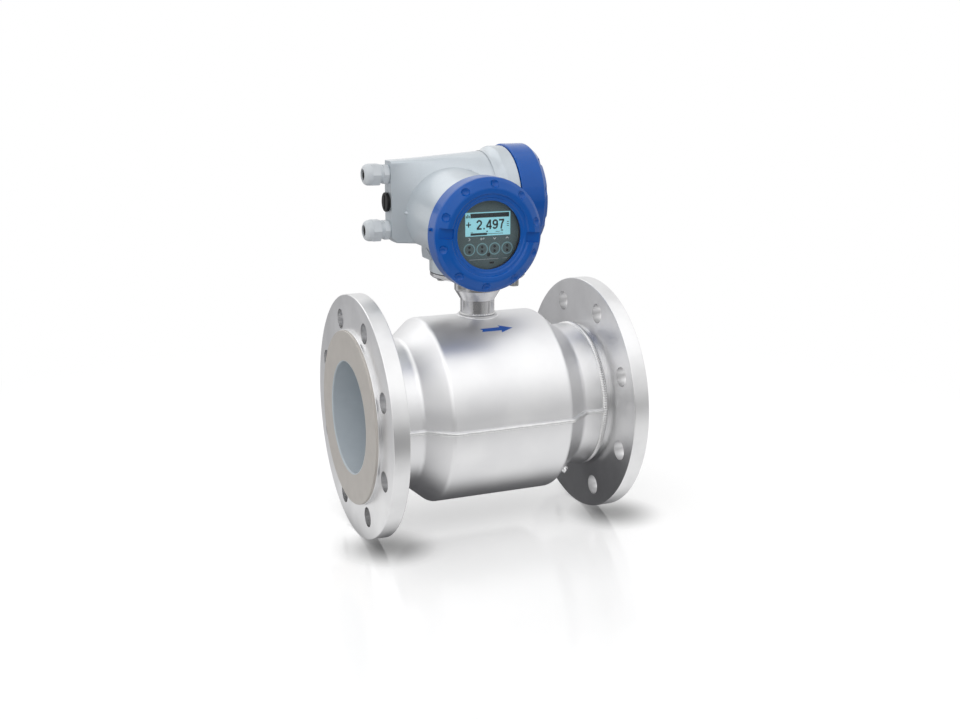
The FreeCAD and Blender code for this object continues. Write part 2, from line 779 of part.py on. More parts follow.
def cover_bezel():
    """Display cover before its dimples and notches are cut; y falls towards the viewer."""
    rear = cover_rear_y
    ridge = cover_ridge_y
    spigot_end = rear + cover_spigot_length
    inner = cover_spigot_radius - cover_spigot_wall
    seat = window_radius + window_seat
    line = [(rear, cover_radius - 0.8), (rear + 0.01, cover_spigot_radius),
            (spigot_end, cover_spigot_radius, 0.4), (spigot_end, inner),
            (window_rear_y, inner), (window_rear_y, seat),
            (window_front_y, seat), (window_front_y, window_radius),
            (ridge - 2.2, window_radius, 0.5), (ridge - 2.6, window_radius + 2.2, 0.6),
            (ridge - 3.6, window_radius + 3.2, 0.3), (ridge - 3.9, window_radius + 5.2, 0.4),
            (ridge - 5.6, window_radius + 6.4, 1.2), (ridge - bezel_valley_depth, window_radius + 10.6, 4.0),
            (ridge - 3.0, cover_radius - 3.2, 2.5), (ridge - 0.6, cover_radius - 0.4, 0.5),
            (ridge + 1.4, cover_radius, 0.8), (rear - 0.8, cover_radius)]
    return turned_y(line, boss_axis_x, boss_axis_z)


def display_cover():
    """Blue screwed cover around the window."""
    centre = Vector(boss_axis_x, 0, boss_axis_z)
    top = centre + Z * dimple_circle_radius + Y * (cover_ridge_y - bezel_valley_depth + dimple_face_rise)
    dimple = dimple_cutter(top, -Y)
    cutters = [around(dimple, centre, Y, cover_turn + 360 / dimple_count * i) for i in range(dimple_count)]
    notch = notch_cutter(centre, cover_ridge_y - bezel_valley_depth - 0.3)
    cutters += [around(notch, centre, Y, cover_turn), around(notch, centre, Y, cover_turn + 180)]
    nub_start = centre - X * (cover_radius - 1) + Z * lock_nub_rise
    nub_start += Y * (cover_ridge_y + cover_rim_depth * lock_nub_along)
    nub = rod(lock_nub_radius, nub_start, nub_start - X * (lock_nub_reach + 1))
    groove = turned_y(groove_line(cover_rear_y + 1.2), boss_axis_x, boss_axis_z)
    return cover_bezel().cut(cutters + [groove]).fuse(nub).removeSplitter()


def dimple_cutter(point, outwards):
    """Shallow round pocket, as a ball sunk into the face."""
    ball_radius = (dimple_radius ** 2 + dimple_depth ** 2) / (2 * dimple_depth)
    return Part.makeSphere(ball_radius, point + outwards * (ball_radius - dimple_depth))


def notch_cutter(centre, front_y):
    """Radial slot for a spanner, to the right of the centre."""
    block = box((notch_inner_radius, front_y - 4, -notch_width / 2),
                (notch_outer_radius, front_y + notch_depth, notch_width / 2))
    block.translate(Vector(centre.x, 0, centre.z))
    upright = [edge for edge in block.Edges if edge.BoundBox.YLength > notch_depth]
    return block.makeFillet(1.5, upright)


def groove_line(start):
    """Section of the seal's groove in a cover's spigot."""
    bottom = cover_spigot_radius - oring_section * 0.8
    return [(start, bottom), (start + oring_section * 1.2, bottom),
            (start + oring_section * 1.2, cover_spigot_radius + 1), (start, cover_spigot_radius + 1)]


def seal_ring(centre_radius, along_from, along_to):
    """Section points of a rounded seal between two places along its axis."""
    half = oring_section * 0.4 - oring_squeeze
    inner = centre_radius - half
    outer = centre_radius + half
    return [(along_from, inner, half * 0.6), (along_to, inner, half * 0.6),
            (along_to, outer, half * 0.6), (along_from, outer, half * 0.6)]


def display_cover_oring():
    start = cover_rear_y + 1.2 + 0.1
    middle = cover_spigot_radius - oring_section * 0.4
    return turned_y(seal_ring(middle, start, start + oring_section), boss_axis_x, boss_axis_z)


def display_window():
    """Round glass, seated behind the bezel's lip."""
    radius = window_radius + window_seat - window_clearance
    return turned_y([(window_front_y, 0), (window_front_y, radius, 0.3),
                     (window_rear_y - 0.4, radius, 0.3), (window_rear_y - 0.4, 0)], boss_axis_x, boss_axis_z)


def window_retainer():
    """Ring that holds the glass from behind."""
    inner = cover_spigot_radius - cover_spigot_wall
    return turned_y([(window_rear_y - 0.4, module_radius + 0.4 - 2.4), (window_rear_y - 0.4, inner - 2.2),
                     (window_rear_y, inner - 2.2), (window_rear_y, inner),
                     (window_rear_y + 1.2, inner), (window_rear_y + 1.2, module_radius + 0.4 - 2.4)],
                    boss_axis_x, boss_axis_z)


def terminal_cover():
    """Blue blind cover on the terminal barrel."""
    start = terminal_cover_x
    end = start + terminal_cover_length
    room_end = end - 6.0
    inner = terminal_spigot_radius - cover_spigot_wall
    spigot_start = start - cover_spigot_length
    recess = terminal_recess_radius
    line = [(spigot_start, inner), (spigot_start, terminal_spigot_radius, 0.4),
            (start, terminal_spigot_radius), (start, cover_radius - 0.8), (start + 0.8, cover_radius),
            (end - 6.5, cover_radius, 2.0), (end - 1.2, terminal_end_radius, 1.5),
            (end, terminal_end_radius - 3.5, 1.5), (end - 0.4, recess + 3.0, 1.0),
            (end - 2.6, recess, 1.0), (end - 2.0, 0), (room_end, 0), (room_end, inner, 3.0)]
    body = turned_x(line, barrel_axis_y, barrel_axis_z)
    centre = Vector(0, barrel_axis_y, barrel_axis_z)
    dimple = dimple_cutter(centre + Z * (terminal_end_radius - 0.8) + X * (end - 2.4),
                           Vector(0.75, 0, 0.66))
    cutters = [around(dimple, centre, X, cover_turn + 360 / dimple_count * i) for i in range(dimple_count)]
    notch = box((end - notch_depth, -notch_width / 2, notch_inner_radius - 2),
                (end + 4, notch_width / 2, notch_outer_radius - 4))
    notch.translate(centre)
    cutters += [around(notch, centre, X, 90), around(notch, centre, X, 270)]
    bottom = terminal_spigot_radius - oring_section * 0.8
    groove_end = start - 1.2
    groove = turned_x([(groove_end - oring_section * 1.2, bottom), (groove_end, bottom),
                       (groove_end, terminal_spigot_radius + 1),
                       (groove_end - oring_section * 1.2, terminal_spigot_radius + 1)],
                      barrel_axis_y, barrel_axis_z)
    return body.cut(cutters + [groove]).removeSplitter()


def terminal_cover_oring():
    end = terminal_cover_x - 1.2 - 0.1
    middle = terminal_spigot_radius - oring_section * 0.4
    return turned_x(seal_ring(middle, end - oring_section, end), barrel_axis_y, barrel_axis_z)


# Display, electronics and terminals

def lcd_box(grow, front, rear):
    half_width = lcd_width / 2 + grow
    half_height = lcd_height / 2 + grow
    return box((lcd_centre_x - half_width, front, lcd_centre_z - half_height),
               (lcd_centre_x + half_width, rear, lcd_centre_z + half_height))


def display_fascia():
    """Round dark plate with the display's opening."""
    plate = turned_y([(fascia_front_y, 0), (fascia_front_y, module_radius - 1.0, 0.4),
                      (module_front_y, module_radius - 1.0), (module_front_y, 0)], boss_axis_x, boss_axis_z)
    return plate.cut(lcd_box(0, fascia_front_y - 1, module_front_y + 1))


def lcd_panel():
    """The display, just behind the fascia's surface."""
    return lcd_box(0, fascia_front_y + lcd_recess, module_front_y)


def electronics_module():
    """Round insert on three legs against the partition."""
    rear = partition_y - module_leg_height
    body = turned_y([(module_front_y, 0), (module_front_y, module_radius - module_step),
                     (module_front_y + module_step_depth, module_radius - module_step, 0.5),
                     (module_front_y + module_step_depth, module_radius),
                     (rear, module_radius, 1.0), (rear, 0)], boss_axis_x, boss_axis_z)
    legs = []
    for i in range(3):
        angle = math.radians(90 + 120 * i)
        place = Vector(boss_axis_x + module_leg_circle * math.cos(angle), 0,
                       boss_axis_z + module_leg_circle * math.sin(angle))
        legs.append(rod(module_leg_radius, place + Y * (rear - 1), place + Y * partition_y))
    return body.fuse(legs).removeSplitter()


def terminal_board():
    """Round board on a rim at the inner end of the terminal room."""
    board = rod(terminal_board_radius, Vector(terminal_board_x, barrel_axis_y, barrel_axis_z),
                Vector(terminal_front_x, barrel_axis_y, barrel_axis_z))
    legs = []
    leg_circle = terminal_board_radius - module_leg_radius * 1.6
    for i in range(3):
        angle = math.radians(30 + 120 * i)
        across = Y * math.cos(angle) + Z * math.sin(angle)
        place = Vector(0, barrel_axis_y, barrel_axis_z) + across * leg_circle
        legs.append(rod(module_leg_radius, place + X * terminal_room_left, place + X * terminal_front_x))
    return board.fuse(legs).removeSplitter()


def terminal_ways():
    """Places (y, z) of the terminals' middles, row by row."""
    first_y = barrel_axis_y - terminal_way_pitch * (terminal_way_count - 1) / 2
    rows = [barrel_axis_z + terminal_row_spacing / 2, barrel_axis_z - terminal_row_spacing / 2]
    return [[(first_y + terminal_way_pitch * i, z) for i in range(terminal_way_count)] for z in rows]


def terminal_row(ways):
    """One moulded row of terminals with its wire mouths and screw wells."""
    half = terminal_way_pitch / 2
    end = terminal_front_x + terminal_block_depth
    row = box((terminal_front_x, ways[0][0] - half, ways[0][1] - terminal_block_height / 2),
              (end, ways[-1][0] + half, ways[0][1] + terminal_block_height / 2))
    cutters = []
    for y, z in ways:
        well = z + terminal_screw_rise
        mouth = z - terminal_screw_rise
        bottom = Vector(end - terminal_screw_length * 1.5, y, well)
        cutters.append(rod(terminal_screw_radius + thread_clearance, bottom, Vector(end + 1, y, well)))
        cutters.append(box((end - terminal_mouth_depth, y - half * 0.6, mouth - terminal_mouth_height / 2),
                           (end + 1, y + half * 0.6, mouth + terminal_mouth_height / 2)))
    return row.cut(cutters)


def terminal_block():
    return Part.makeCompound([terminal_row(ways) for ways in terminal_ways()])


def terminal_screws():
    """Clamp screws of both terminal rows."""
    end = terminal_front_x + terminal_block_depth
    bottom = end - terminal_screw_length * 1.5
    top = bottom + terminal_screw_length
    screws = []
    for y, z in sum(terminal_ways(), []):
        well = z + terminal_screw_rise
        screw = rod(terminal_screw_radius, Vector(bottom, y, well), Vector(top, y, well))
        slot = box((top - terminal_screw_slot, y - terminal_screw_radius * 1.2, well - terminal_screw_slot / 2),
                   (end, y + terminal_screw_radius * 1.2, well + terminal_screw_slot / 2))
        screws.append(screw.cut(slot))
    return Part.makeCompound(screws)


# Cable entries

def gland_body(z):
    """Hexagonal body with its thread in the wall and the spigot for the nut."""
    wall_x = slab_left_x
    hex_end = wall_x - gland_flange_washer - gland_hex_length
    collar_end = hex_end - gland_collar_length
    axis = Vector(0, entry_y, z)
    parts = [rod(gland_collar_radius, axis + X * wall_x, axis + X * (wall_x - gland_flange_washer)),
             hexagon(gland_hex_af, axis + X * (wall_x - gland_flange_washer), -X, gland_hex_length, 30),
             rod(gland_collar_radius, axis + X * hex_end, axis + X * collar_end),
             rod(entry_hole_radius - running_clearance, axis + X * (wall_x - 1),
                 axis + X * (wall_x + gland_thread_length)),
             rod(gland_spigot_radius, axis + X * collar_end, axis + X * (collar_end - gland_spigot_length))]
    body = parts[0].fuse(parts[1:])
    bore = rod(gland_bore_radius, axis + X * (collar_end - gland_spigot_length - 1),
               axis + X * (wall_x + gland_thread_length + 1))
    return body.cut(bore).removeSplitter()


def gland_nut_start():
    """Where the nut's open end stands, just off the body's collar."""
    return slab_left_x - gland_flange_washer - gland_hex_length - gland_collar_length - 0.4


def gland_nut(z):
    """Domed nut, hexagonal at its open end."""
    start = gland_nut_start()
    hex_end = start - gland_nut_hex_length
    end = start - gland_nut_length
    dome_radius = gland_nut_af / 2
    axis = Vector(0, entry_y, z)
    grip = hexagon(gland_nut_af, axis + X * start, -X, gland_nut_hex_length, 30)
    round_off = turned_x([(start + 0.1, 0), (start + 0.1, dome_radius * 1.1),
                          (start - 1.0, dome_radius * 1.155), (hex_end - 0.1, dome_radius * 1.155),
                          (hex_end - 0.1, 0)], entry_y, z)
    dome = turned_x([(hex_end + 0.5, 0), (hex_end + 0.5, dome_radius + 0.35), (hex_end - 1.0, dome_radius + 0.35, 0.5),
                     (end, dome_radius, 5.0), (end, 0)], entry_y, z)
    room_end = start - gland_spigot_length - 1.2
    room = turned_x([(start + 1, 0), (start + 1, gland_spigot_radius + running_clearance),
                     (room_end, gland_spigot_radius + running_clearance),
                     (end + 1.6, gland_dome_end_radius - 0.8), (end - 1, gland_dome_end_radius - 0.8),
                     (end - 1, 0)], entry_y, z)
    return grip.common(round_off).fuse(dome).cut(room).removeSplitter()


def gland_seal(z):
    """Rubber insert that the nut squeezes on the cable."""
    start = gland_nut_start() + 0.4 - gland_spigot_length + 5.0
    end = gland_nut_start() - gland_nut_length + 1.4
    outer = gland_bore_radius - running_clearance
    return turned_x([(start, gland_seal_bore_radius), (end, gland_seal_bore_radius, 0.8), (end, outer, 0.8),
                     (start, outer)], entry_y, z)


def blind_plug():
    """Black plug with a screwdriver slot in the middle entry."""
    axis = Vector(0, entry_y, entry_z)
    seat = slab_left_x - plug_seal_thickness
    front = seat - plug_head_thickness
    head = turned_x([(seat, 0), (seat, plug_head_radius), (front, plug_head_radius, 0.7), (front, 0)],
                    entry_y, entry_z)
    stem = rod(entry_hole_radius - running_clearance, axis + X * (seat - 1),
               axis + X * (seat + plug_stem_length))
    slot = box((front - 1, entry_y - plug_slot_width / 2, entry_z - plug_head_radius * 0.7),
               (front + plug_slot_depth, entry_y + plug_slot_width / 2, entry_z + plug_head_radius * 0.7))
    return head.fuse(stem).cut(slot).removeSplitter()


def blind_plug_seal():
    """Flat rubber ring under the plug's head."""
    return turned_x([(slab_left_x, entry_hole_radius), (slab_left_x, plug_seal_radius),
                     (slab_left_x - plug_seal_thickness, plug_seal_radius),
                     (slab_left_x - plug_seal_thickness, entry_hole_radius)], entry_y, entry_z)


# Every node, by name

def all_parts():
    flange = outlet_flange()
    bead = outlet_weld_bead()
    shoe = upper_pole_shoe()
    coil = upper_coil()
    electrode = rear_electrode()
    electrode_nut = rear_electrode_nut()
    parts = {
        "measuring_tube": measuring_tube(),
        "liner": liner(),
        "outlet_flange": flange,
        "inlet_flange": mirrored_x(flange),
        "outlet_weld_bead": bead,
        "inlet_weld_bead": mirrored_x(bead),
        "upper_housing_shell": upper_housing_shell(),
        "lower_housing_shell": lower_housing_shell(),
        "drain_plug": drain_plug(),
        "upper_pole_shoe": shoe,
        "lower_pole_shoe": mirrored_z(shoe),
        "upper_coil": coil,
        "lower_coil": mirrored_z(coil),
        "rear_electrode": electrode,
        "front_electrode": mirrored_y(electrode),
        "rear_electrode_nut": electrode_nut,
        "front_electrode_nut": mirrored_y(electrode_nut),
        "neck_weld_bead": neck_weld_bead(),
        "sensor_neck": sensor_neck(),
        "neck_feedthrough": neck_feedthrough(),
        "base_gasket": base_gasket(),
        "base_screws": base_screws(),
        "earth_screw": earth_screw(),
        "converter_housing": converter_housing(),
        "display_cover": display_cover(),
        "display_cover_oring": display_cover_oring(),
        "display_window": display_window(),
        "window_retainer": window_retainer(),
        "display_fascia": display_fascia(),
        "lcd_panel": lcd_panel(),
        "electronics_module": electronics_module(),
        "terminal_cover": terminal_cover(),
        "terminal_cover_oring": terminal_cover_oring(),
        "terminal_board": terminal_board(),
        "terminal_block": terminal_block(),
        "terminal_screws": terminal_screws(),
        "blind_plug": blind_plug(),
        "blind_plug_seal": blind_plug_seal(),
    }
    for level, z in entry_heights.items():
        parts[level + "_gland_body"] = gland_body(z)
        parts[level + "_gland_nut"] = gland_nut(z)
        parts[level + "_gland_seal"] = gland_seal(z)
    return parts


os.makedirs("parts", exist_ok=True)
for name, shape in all_parts().items():
    shape.exportStep(os.path.join("parts", name + ".step"))
    print(name, "solids", len(shape.Solids), "volume", round(shape.Volume), "valid", shape.isValid())
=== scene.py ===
# Electromagnetic flow meter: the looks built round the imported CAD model.
import math

import bmesh
import bpy
from mathutils import Matrix, Vector


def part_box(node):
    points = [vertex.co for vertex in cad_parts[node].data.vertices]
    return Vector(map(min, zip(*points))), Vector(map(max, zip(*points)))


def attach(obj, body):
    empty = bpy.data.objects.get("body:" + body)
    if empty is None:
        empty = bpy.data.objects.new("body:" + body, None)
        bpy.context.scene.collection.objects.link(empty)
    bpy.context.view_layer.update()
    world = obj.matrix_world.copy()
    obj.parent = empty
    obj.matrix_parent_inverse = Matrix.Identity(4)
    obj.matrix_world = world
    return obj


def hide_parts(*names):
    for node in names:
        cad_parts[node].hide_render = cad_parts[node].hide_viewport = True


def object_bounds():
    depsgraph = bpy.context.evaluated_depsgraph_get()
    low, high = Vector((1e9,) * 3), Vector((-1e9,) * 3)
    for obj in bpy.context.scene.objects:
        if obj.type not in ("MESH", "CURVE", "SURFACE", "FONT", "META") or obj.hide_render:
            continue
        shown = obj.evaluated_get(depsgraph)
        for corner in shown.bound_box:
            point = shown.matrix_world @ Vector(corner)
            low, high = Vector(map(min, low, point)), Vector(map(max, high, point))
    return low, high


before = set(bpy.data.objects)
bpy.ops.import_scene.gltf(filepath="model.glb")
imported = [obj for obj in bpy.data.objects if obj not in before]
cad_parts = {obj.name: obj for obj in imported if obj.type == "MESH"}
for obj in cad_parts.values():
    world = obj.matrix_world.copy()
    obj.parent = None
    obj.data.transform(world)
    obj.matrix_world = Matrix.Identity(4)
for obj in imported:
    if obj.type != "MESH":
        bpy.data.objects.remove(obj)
cad_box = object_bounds()

# Camera
# It stands to the left of the meter and a little above it, level, with a lens of 47 mm on a 36 mm sensor.
camera = bpy.data.objects.new("camera", bpy.data.cameras.new("camera"))
bpy.context.scene.collection.objects.link(camera)
camera.data.lens = 46.85
camera.data.sensor_width = 36
camera_right = Vector((0.9209, -0.3897, 0.0018))
camera_up = Vector((0.0914, 0.2204, 0.9711))
camera_back = Vector((-0.3788, -0.8942, 0.2386))
turned = Matrix((camera_right, camera_up, camera_back)).transposed()
camera.matrix_world = Matrix.Translation((-0.4347, -1.0325, 0.3164)) @ turned.to_4x4()
bpy.context.scene.camera = camera


# Studio floor
# A pale satin sheet. The camera sees it white, with the meter's shadow, a painted shadow in front of each
# foot and a faint mirror image. The gloss sees painted shade instead: a painted shadow under the meter, and
# the floor dimmer a step in front of it. It sends less light back up than it shows, so that the undersides
# keep their shade.
class Value:
    """A socket whose operators add Math nodes."""

    def __init__(self, finish, socket):
        self.finish = finish
        self.socket = socket

    def maths(self, operation, *terms):
        return self.finish.node("ShaderNodeMath", {"operation": operation}, dict(enumerate(terms)))

    def __add__(self, other):
        return self.maths("ADD", self, other)

    __radd__ = __add__

    def __sub__(self, other):
        return self.maths("SUBTRACT", self, other)

    def __rsub__(self, other):
        return self.maths("SUBTRACT", other, self)

    def __mul__(self, other):
        return self.maths("MULTIPLY", self, other)

    __rmul__ = __mul__

    def __truediv__(self, other):
        return self.maths("DIVIDE", self, other)

    def __gt__(self, other):
        return self.maths("GREATER_THAN", self, other)

    def __lt__(self, other):
        return self.maths("LESS_THAN", self, other)


class Finish:
    """A material with one Principled shader, and the nodes that vary it over a surface."""

    def __init__(self, name, shader=None):
        self.material = bpy.data.materials.new(name)
        self.material.use_nodes = True
        self.tree = self.material.node_tree
        self.shader = self.tree.nodes["Principled BSDF"]
        for key, value in (shader or {}).items():
            self.shader.inputs[key].default_value = value

    def node(self, kind, settings=None, values=None, output=0):
        made = self.tree.nodes.new(kind)
        for key, value in (settings or {}).items():
            setattr(made, key, value)
        for key, value in (values or {}).items():
            self.join(value, made.inputs[key])
        return Value(self, made.outputs[output])

    def join(self, value, socket):
        if isinstance(value, Value):
            self.tree.links.new(value.socket, socket)
        else:
            socket.default_value = value

    def vary(self, socket, value):
        self.join(value, self.shader.inputs[socket])

    def place(self):
        return self.node("ShaderNodeTexCoord", output="Object")

    def axes(self):
        parts = self.node("ShaderNodeSeparateXYZ", values={0: self.place()}).socket.node
        return [Value(self, parts.outputs[axis]) for axis in "XYZ"]

    def noise(self, size, detail=2.0, stretch=(1, 1, 1)):
        spread = self.node("ShaderNodeMapping", values={"Vector": self.place(), "Scale": stretch})
        return self.node("ShaderNodeTexNoise", values={"Vector": spread, "Scale": 1 / size, "Detail": detail})

    def span(self, value, low, high, to_low=0.0, to_high=1.0):
        return self.node("ShaderNodeMapRange", {"interpolation_type": "SMOOTHSTEP"},
                         {0: value, 1: low, 2: high, 3: to_low, 4: to_high})

    def blend(self, factor, first, second):
        return self.node("ShaderNodeMix", {"data_type": "RGBA"}, {0: factor, 6: first, 7: second}, output=2)

    def mottle(self, size, detail, first, second):
        """A base colour that drifts between two tones in clouds of a size."""
        cloud = self.noise(size, detail)
        self.vary("Base Color", self.blend(cloud, first, second))
        return cloud

    def bump(self, height, distance):
        self.vary("Normal", self.node("ShaderNodeBump", values={"Height": height, "Distance": distance}))


floor_height = cad_box[0].z
floor_reach = 6
sheet = bmesh.new()
bmesh.ops.create_grid(sheet, x_segments=1, y_segments=1, size=floor_reach)
bmesh.ops.translate(sheet, verts=sheet.verts, vec=(0, 0, floor_height))
floor_data = bpy.data.meshes.new("floor")
sheet.to_mesh(floor_data)
sheet.free()
floor = bpy.data.objects.new("floor", floor_data)
bpy.context.scene.collection.objects.link(floor)
paper = Finish("studio_paper", {"Roughness": 0.13, "Specular IOR Level": 0.7})
across, along, height = paper.axes()
away = paper.node("ShaderNodeVectorMath", {"operation": "LENGTH"}, {0: paper.place()}, output=1)
rays = paper.node("ShaderNodeLightPath").socket.node
camera_ray = Value(paper, rays.outputs["Is Camera Ray"]) + Value(paper, rays.outputs["Is Transmission Ray"])
gloss_ray = Value(paper, rays.outputs["Is Glossy Ray"])
plain = Value(paper, paper.shader.outputs[0])
# Painted shadow: the floor's colour and its glow darken in a spot in front of each foot.
feet_middle, feet_apart, feet_front, foot_shadow_reach = 0.008, 0.114, 0.046, 0.054
from_foot = across.maths("ABSOLUTE", across - feet_middle) - feet_apart
from_foot = from_foot * from_foot + (along + feet_front) * (along + feet_front)
painted_foot_shadow = 1 - paper.span(from_foot.maths("SQRT", from_foot), 0.004, foot_shadow_reach)
paper.vary("Base Color", paper.blend(painted_foot_shadow, (0.88, 0.88, 0.88, 1), (0.38, 0.38, 0.38, 1)))
glow_shade = paper.blend(painted_foot_shadow, (1, 1, 1, 1), (0.05, 0.05, 0.05, 1))
glow = paper.node("ShaderNodeEmission", values={"Color": glow_shade, "Strength": 0.34})
lit = paper.node("ShaderNodeAddShader", values={0: plain, 1: glow})
white = paper.node("ShaderNodeEmission", values={"Color": (1, 1, 1, 1), "Strength": 1.0})
near = paper.node("ShaderNodeMixShader", values={0: paper.span(away, 0.3, 0.8), 1: lit, 2: white})
# Painted shade seen only in reflections: a painted shadow under the meter, and the floor dimmer further in
# front, at the left front and behind.
painted_shadow_under = paper.span(along, -0.085, -0.04) * (1 - paper.span(along, 0.2, 0.6))
painted_shadow_under = painted_shadow_under * paper.span(across, -0.15, -0.1) * (1 - paper.span(across, 0.1, 0.2))
left_front = (1 - paper.span(across, -0.05, 0.2)) * (1 - paper.span(along, -0.5, -0.2))
shade = paper.blend(paper.span(along, -1.1, -0.25), (0.3, 0.3, 0.3, 1), (1, 1, 1, 1))
shade = paper.blend(left_front, shade, (0.2, 0.2, 0.2, 1))
mirror_slant = 0.424
right_back = paper.span(across + along * mirror_slant, -0.07, 0.05)
back = paper.blend(right_back, (0.68, 0.68, 0.69, 1), (0.3, 0.3, 0.31, 1))
shade = paper.blend(paper.span(along, 0.0, 0.3), shade, back)
shade = paper.blend(painted_shadow_under, shade, (0.1, 0.1, 0.105, 1))
mirrored = paper.node("ShaderNodeEmission", values={"Color": shade, "Strength": 1.0})
soft = paper.node("ShaderNodeBsdfDiffuse", values={"Color": (0.6, 0.6, 0.6, 1)})
rest = paper.node("ShaderNodeMixShader", values={0: gloss_ray, 1: soft, 2: mirrored})
both = paper.node("ShaderNodeMixShader", values={0: camera_ray, 1: rest, 2: near})
paper.tree.links.new(both.socket, paper.tree.nodes["Material Output"].inputs["Surface"])
floor_data.materials.append(paper.material)

# Studio light
# Three soft boxes in a pale room. The room is white to the camera and the glass, and nearly white to the
# gloss, but the wall low behind the camera and at its left is darker, as in a real studio, so that the
# steel shows its form.
class Sky(Finish):
    """The world's own nodes."""

    def __init__(self, world):
        world.use_nodes = True
        self.tree = world.node_tree


world = bpy.data.worlds.new("studio")
bpy.context.scene.world = world
sky = Sky(world)
rays = sky.node("ShaderNodeLightPath").socket.node
direction = sky.node("ShaderNodeTexCoord", output="Generated")
parts = sky.node("ShaderNodeSeparateXYZ", values={0: direction}).socket.node
right, rear, up = [Value(sky, parts.outputs[axis]) for axis in "XYZ"]
dim_front = sky.span(rear * -1, 0.2, 0.8) * (1 - sky.span(up, 0.0, 0.35)) * 0.28
dim_left = sky.span(rear * -1, 0.1, 0.6) * sky.span(right * -1, 0.0, 0.6) * 0.62
gloss = Value(sky, rays.outputs["Is Glossy Ray"]) * (0.50 - dim_front.maths("MAXIMUM", dim_front, dim_left))
clear = Value(sky, rays.outputs["Is Camera Ray"]) + Value(sky, rays.outputs["Is Transmission Ray"])
room_light = 0.46
level = room_light + gloss + clear * (1 - room_light)
background = sky.tree.nodes["Background"]
background.inputs["Color"].default_value = (1, 1, 1, 1)
sky.join(level.maths("MINIMUM", level, 1.0), background.inputs["Strength"])


def soft_box(name, place, aim, width, depth, power):
    lamp = bpy.data.objects.new(name, bpy.data.lights.new(name, "AREA"))
    bpy.context.scene.collection.objects.link(lamp)
    lamp.data.shape = "RECTANGLE"
    lamp.data.size = width
    lamp.data.size_y = depth
    lamp.data.energy = power
    lamp.location = place
    lamp.rotation_euler = (Vector(aim) - Vector(place)).to_track_quat("-Z", "Y").to_euler()


soft_box("key_light", (-1.15, -1.05, 1.2), (0, 0, 0.02), 2.6, 2.3, 14.5)
soft_box("fill_light", (0.6, -0.65, 1.4), (0, 0, 0.0), 2.2, 1.8, 4.2)
soft_box("rear_light", (-0.4, 0.9, 1.3), (0, 0, 0.0), 1.4, 1.2, 4.0)


# Flanges
# Forged stainless steel discs with welded necks, turned on a lathe on every face and drilled with eight
# holes. The cutter's fine lines run round the pipe.
def dress(finish, *nodes):
    """Gives CAD nodes a finish in place of their plain material."""
    for node in nodes:
        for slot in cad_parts[node].material_slots:
            slot.material = finish.material


turned_steel = Finish("turned_steel", {"Metallic": 1.0})
across, along, height = turned_steel.axes()
squares = along * along + height * height
from_axis = squares.maths("SQRT", squares)
lines = turned_steel.node("ShaderNodeTexNoise", {"noise_dimensions": "1D"},
                          {"W": from_axis + across, "Scale": 900.0, "Detail": 2.0})
cloud = turned_steel.noise(0.03, 3)
turned_steel.vary("Base Color", turned_steel.blend(turned_steel.span(cloud, 0.3, 0.7), (0.71, 0.71, 0.715, 1),
                                                   (0.79, 0.79, 0.795, 1)))
turned_steel.vary("Roughness", 0.27 + lines * 0.06 + cloud * 0.06)
turned_steel.bump(lines, 0.00002)
dress(turned_steel, "inlet_flange", "outlet_flange")

# Lining tube
# Hard rubber-like lining, moulded in the tube and turned over the raised faces: taupe outside, grey in the
# bore, which is worn smooth.
def colour(red, green, blue):
    """A screen colour of 0 to 255 as the linear colour that a shader takes."""
    return tuple(((c / 255 + 0.055) / 1.055) ** 2.4 for c in (red, green, blue)) + (1.0,)


lining = Finish("lining", {"Specular IOR Level": 0.4})
across, along, height = lining.axes()
squares = along * along + height * height
from_axis = squares.maths("SQRT", squares)
bore_edge = 0.0513
mottle = lining.noise(0.012, 4)
face_shade = lining.blend(mottle, colour(192, 187, 181), colour(208, 203, 197))
bore_shade = lining.blend(mottle, colour(194, 203, 210), colour(206, 214, 220))
lining.vary("Base Color", lining.blend(from_axis > bore_edge, bore_shade, face_shade))
lining.vary("Roughness", lining.span(from_axis, 0.0505, 0.0515, 0.22, 0.45) + mottle * 0.05)
lining.bump(lining.noise(0.0011, 2), 0.00003)
dress(lining, "liner")

# Measuring parts inside the shell
# Steel tube, iron cores and saddles, wound copper coils, and two alloy electrodes with their nuts. The
# electrodes pass through tube and lining, and the coils sit on the cores.
tube_steel = Finish("tube_steel", {"Metallic": 1.0, "Roughness": 0.4})
streak = tube_steel.noise(0.004, 2, (0.1, 1, 1))
tube_steel.vary("Base Color", tube_steel.blend(streak, (0.50, 0.50, 0.51, 1), (0.6, 0.6, 0.6, 1)))
dress(tube_steel, "measuring_tube", "front_electrode", "rear_electrode", "front_electrode_nut",
      "rear_electrode_nut")
soft_iron = Finish("soft_iron", {"Metallic": 0.9, "Roughness": 0.55})
soft_iron.mottle(0.006, 4, (0.16, 0.155, 0.15, 1), (0.24, 0.235, 0.23, 1))
dress(soft_iron, "upper_pole_shoe", "lower_pole_shoe")
winding = Finish("copper_winding", {"Metallic": 1.0, "Roughness": 0.35})
across, along, height = winding.axes()
wire = height * 12000
turns = wire.maths("SINE", wire)
winding.vary("Base Color", winding.blend(turns * 0.5 + 0.5, (0.55, 0.2, 0.07, 1), (0.72, 0.3, 0.12, 1)))
winding.bump(turns, 0.0001)
dress(winding, "upper_coil", "lower_coil")

